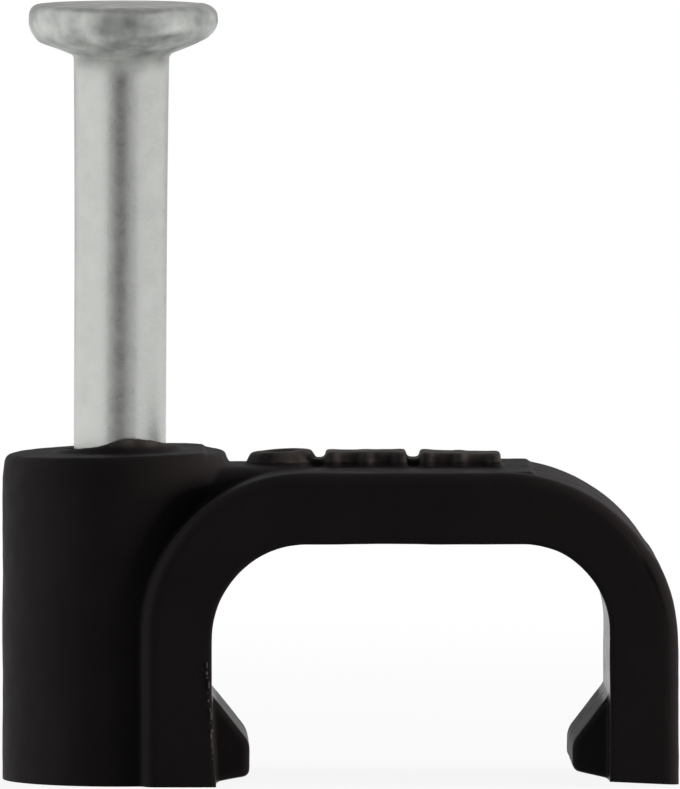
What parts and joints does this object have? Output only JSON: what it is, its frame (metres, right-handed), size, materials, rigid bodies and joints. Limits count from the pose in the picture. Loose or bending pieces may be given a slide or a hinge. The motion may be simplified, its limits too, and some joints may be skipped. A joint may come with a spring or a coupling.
{
  "type": "nail-in cable clip",
  "caption": "Moulded saddle clip for a flat cable, with inward hooks at its feet and a round boss at one side that holds a part-driven flat-head nail.",
  "frame": {"origin": "on the nail's axis, in the plane of the base that lies on the wall", "axes": "+X across the cable from the nail boss to the far leg, +Y along the cable, +Z away from the wall along the nail"},
  "size_m": [0.0147, 0.0056, 0.0169],
  "materials": {
    "black_plastic": "moulded, satin",
    "zinc_steel": "drawn wire, bright zinc plated"
  },
  "bodies": {
    "clip": {"clip_body": "black_plastic"},
    "nail": {"nail": "zinc_steel"}
  },
  "joints": [
    {"name": "nail_drive", "type": "slide", "parent": "clip", "child": "nail", "axis": [0, 0, -1], "range_m": [0, 0.0083]}
  ]
}
